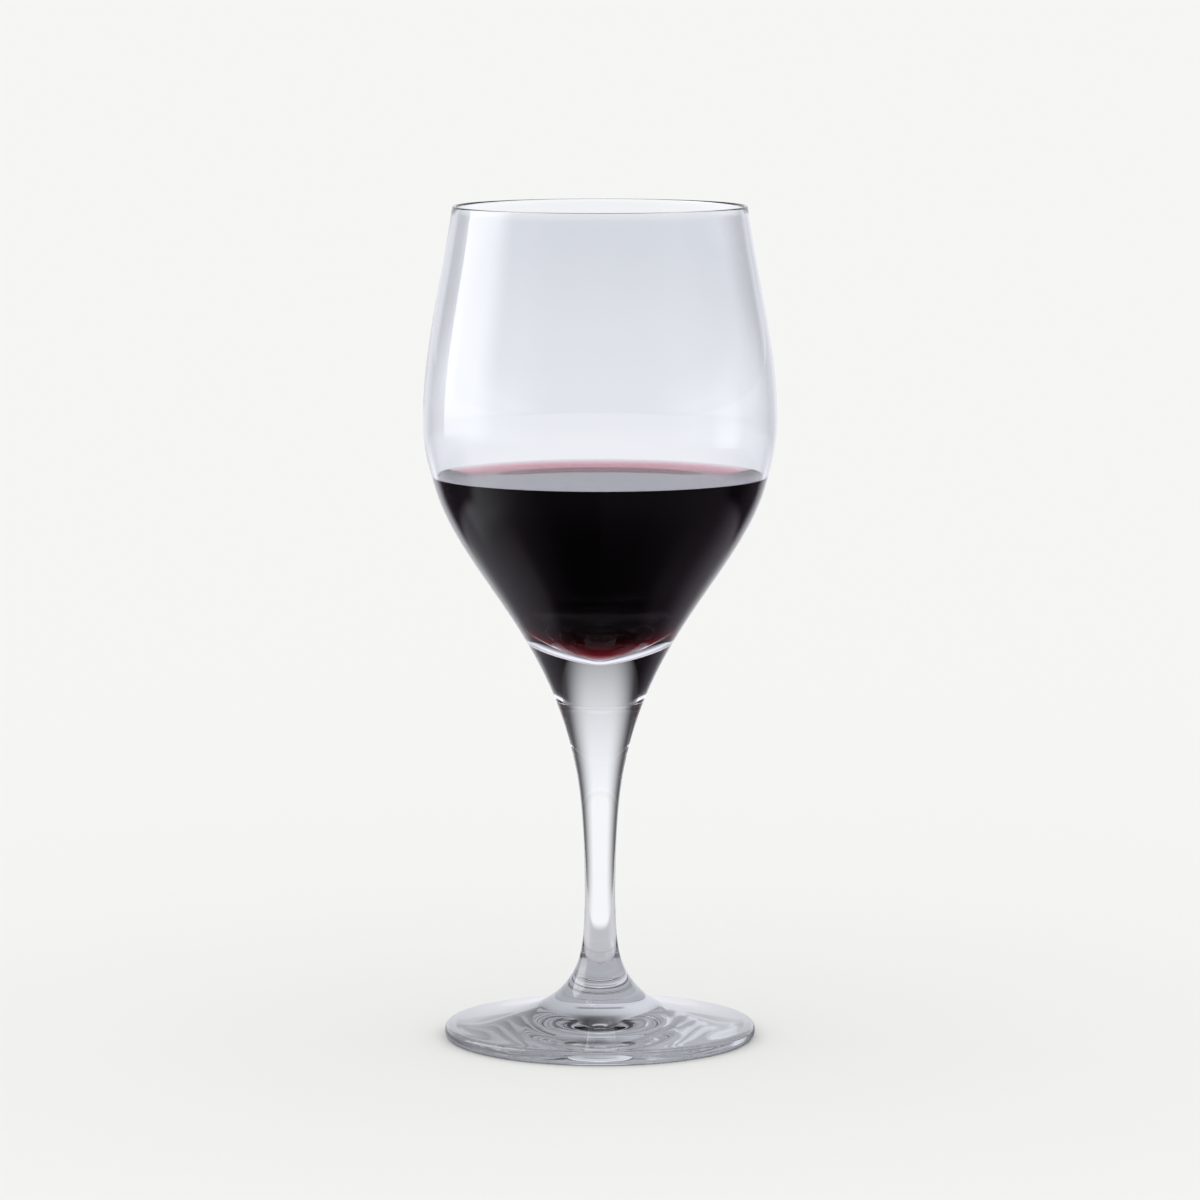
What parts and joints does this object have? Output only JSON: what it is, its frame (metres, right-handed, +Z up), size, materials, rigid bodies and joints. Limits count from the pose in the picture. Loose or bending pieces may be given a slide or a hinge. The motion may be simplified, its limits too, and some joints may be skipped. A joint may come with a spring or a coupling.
{
  "type": "glass of red wine",
  "caption": "Clear stemmed wine glass with a tall round bowl, partly filled with dark red wine, standing upright on its round foot.",
  "frame": {"origin": "on the axis of the glass, at the surface that the foot rests on", "axes": "+Z up along the stem, towards the mouth; the part is round, so X and Y are alike"},
  "size_m": [0.0854, 0.0854, 0.202],
  "materials": {
    "clear_glass": "gloss",
    "red_wine": "gloss"
  },
  "bodies": {
    "root": {"glass": "clear_glass", "wine": "red_wine"}
  },
  "joints": []
}
